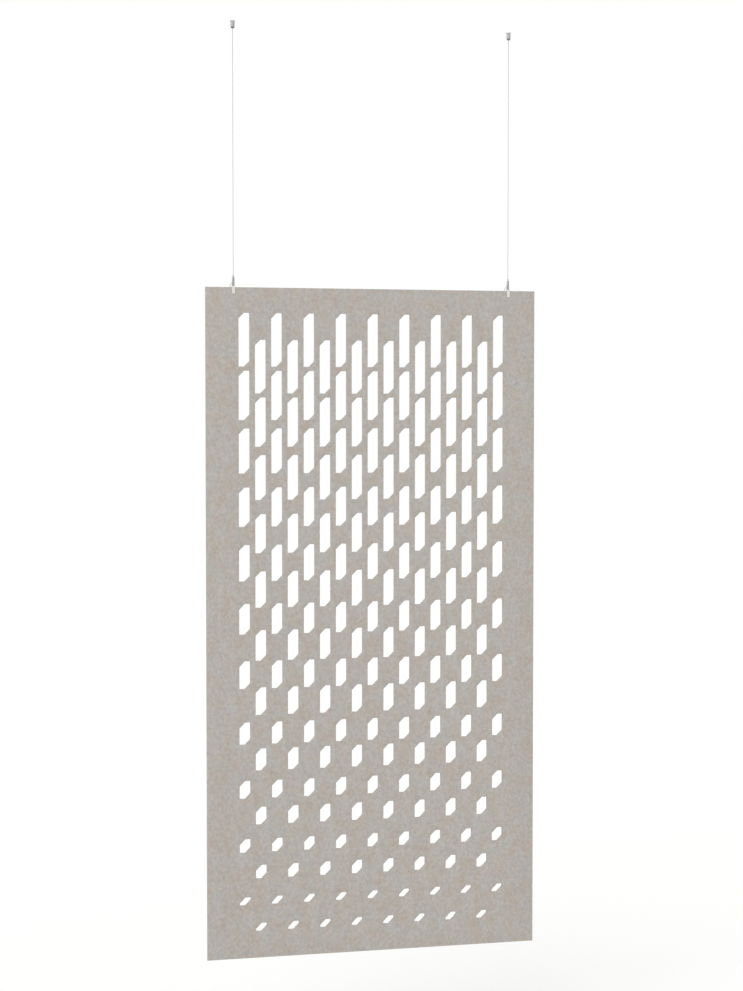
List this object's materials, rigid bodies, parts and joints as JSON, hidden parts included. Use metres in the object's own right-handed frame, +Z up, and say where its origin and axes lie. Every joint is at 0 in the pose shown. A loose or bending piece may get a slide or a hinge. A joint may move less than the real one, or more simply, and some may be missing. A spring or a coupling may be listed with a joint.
{
  "type": "hanging room divider panel",
  "caption": "Thin rectangular felt panel cut with rows of slots that shorten towards the foot, hung from the ceiling on two thin wires with caps, grippers and fork clips.",
  "frame": {"origin": "on the ceiling plane, midway between the stud holes of the two ceiling fittings", "axes": "+X to the right along the panel seen from its front, +Y from the panel's front face to its back, +Z up"},
  "size_m": [1.215, 0.0224, 3.335],
  "materials": {
    "felt": "pressed heathered felt",
    "satin_nickel": "satin",
    "bright_steel": "turned",
    "steel_wire": "stranded",
    "white_clip": "satin",
    "white_nylon": "matte"
  },
  "bodies": {
    "ceiling_fittings": {"ceiling_base_left": "satin_nickel", "ceiling_cap_left": "satin_nickel", "ceiling_base_right": "satin_nickel", "ceiling_cap_right": "satin_nickel"},
    "wires": {"wire_stop_left": "bright_steel", "wire_left": "steel_wire", "wire_stop_right": "bright_steel", "wire_right": "steel_wire"},
    "panel": {"felt_panel": "felt", "wire_tail_left": "steel_wire", "gripper_barrel_left": "satin_nickel", "plunger_spring_left": "bright_steel", "gripper_plug_left": "satin_nickel", "clip_screw_left": "bright_steel", "fork_clip_left": "white_clip", "clamp_screw_left": "bright_steel", "clamp_pad_left": "white_nylon", "wire_tail_right": "steel_wire", "gripper_barrel_right": "satin_nickel", "plunger_spring_right": "bright_steel", "gripper_plug_right": "satin_nickel", "clip_screw_right": "bright_steel", "fork_clip_right": "white_clip", "clamp_screw_right": "bright_steel", "clamp_pad_right": "white_nylon"},
    "plunger_left": {"gripper_plunger_left": "bright_steel", "clutch_balls_left": "bright_steel"},
    "plunger_right": {"gripper_plunger_right": "bright_steel", "clutch_balls_right": "bright_steel"}
  },
  "joints": [
    {"name": "wire_swing", "type": "hinge", "parent": "ceiling_fittings", "child": "wires", "pos_m": [0, 0, -0.02], "axis": [1, 0, 0], "range_deg": [-10, 10]},
    {"name": "panel_rock", "type": "hinge", "parent": "wires", "child": "panel", "pos_m": [0, 0, -0.8933], "axis": [1, 0, 0], "range_deg": [-10, 10]},
    {"name": "release_left", "type": "slide", "parent": "panel", "child": "plunger_left", "axis": [0, 0, -1], "range_m": [0, 0.002], "stiffness_N_per_m": 600, "springref_m": -0.003, "deforming": ["plunger_spring_left"]},
    {"name": "release_right", "type": "slide", "parent": "panel", "child": "plunger_right", "axis": [0, 0, -1], "range_m": [0, 0.002], "stiffness_N_per_m": 600, "springref_m": -0.003, "deforming": ["plunger_spring_right"]}
  ]
}
